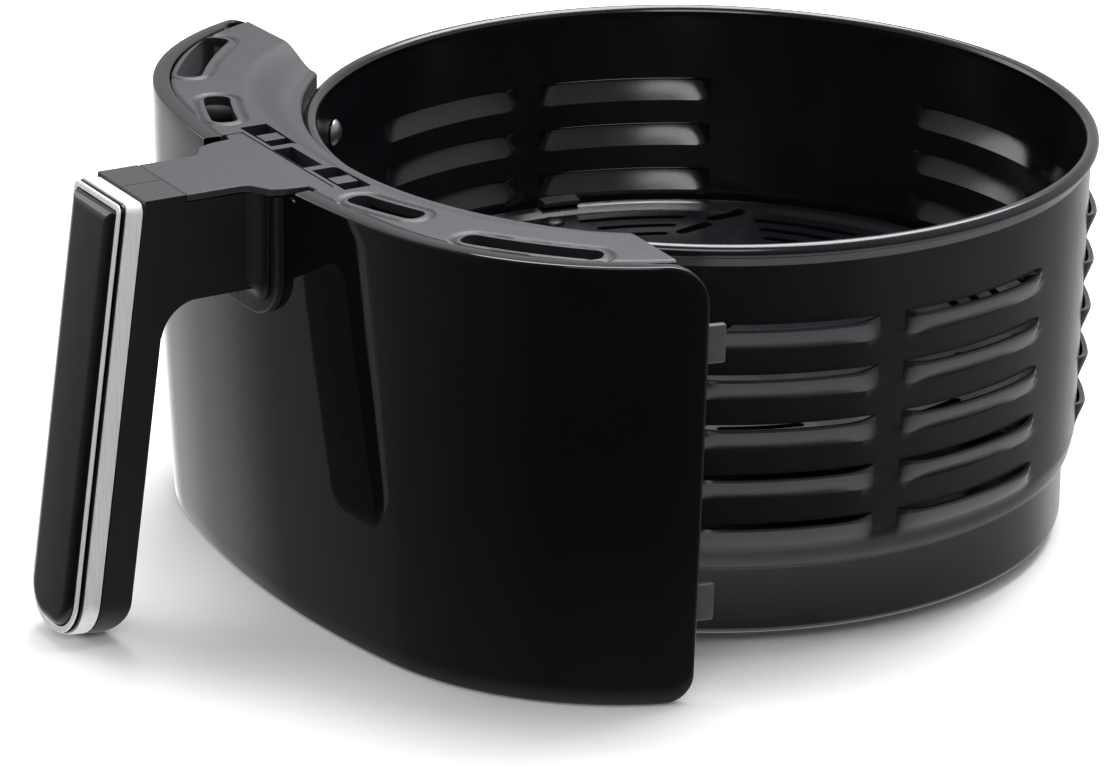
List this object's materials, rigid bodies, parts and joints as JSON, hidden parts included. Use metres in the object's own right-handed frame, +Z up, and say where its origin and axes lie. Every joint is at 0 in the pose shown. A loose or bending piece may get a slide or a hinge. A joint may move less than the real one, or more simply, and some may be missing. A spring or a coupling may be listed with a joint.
{
  "type": "air fryer basket drawer",
  "caption": "Round air fryer drawer: louvred non-stick basket with lift-out crisper plate, curved gloss front panel and an arm handle with a leaning grip.",
  "frame": {"origin": "on the basket's axis, at the flat underside of its base", "axes": "+Z up along the basket's axis; -Y towards the front panel and handle; +X to the right when facing the front panel"},
  "size_m": [0.26, 0.3269, 0.128],
  "materials": {
    "coated_steel": "satin non-stick coating",
    "plated_steel": "zinc plated",
    "silicone": "matte",
    "gloss_black": "high gloss",
    "satin_black": "fine satin texture",
    "dark_grey": "matte",
    "chrome": "bright"
  },
  "bodies": {
    "drawer": {"arm_top_cover": "dark_grey", "basket_screw_1": "plated_steel", "basket_screw_2": "plated_steel", "basket_screw_3": "plated_steel", "basket_screw_4": "plated_steel", "basket_shell": "coated_steel", "collar_screw_left": "plated_steel", "collar_screw_right": "plated_steel", "frame_clip_left": "satin_black", "frame_clip_right": "satin_black", "frame_screw_left": "plated_steel", "frame_screw_right": "plated_steel", "front_panel": "gloss_black", "grip_insert": "gloss_black", "grip_screw_lower": "plated_steel", "grip_screw_upper": "plated_steel", "grip_trim": "chrome", "handle_shell_left": "satin_black", "handle_shell_right": "satin_black", "handle_strap": "plated_steel", "insert_lip": "chrome", "panel_liner": "satin_black", "strap_rivet_1": "plated_steel", "strap_rivet_2": "plated_steel", "top_frame": "dark_grey"},
    "crisper": {"crisper_plate": "coated_steel", "leg_boot_1": "silicone", "leg_boot_2": "silicone", "leg_boot_3": "silicone", "leg_boot_4": "silicone", "plate_bumper_1": "silicone", "plate_bumper_2": "silicone", "plate_bumper_3": "silicone", "plate_bumper_4": "silicone", "plate_leg_1": "plated_steel", "plate_leg_2": "plated_steel", "plate_leg_3": "plated_steel", "plate_leg_4": "plated_steel"}
  },
  "joints": [
    {"name": "crisper_lift", "type": "slide", "parent": "drawer", "child": "crisper", "axis": [0, 0, 1], "range_m": [0, 0.125]}
  ]
}
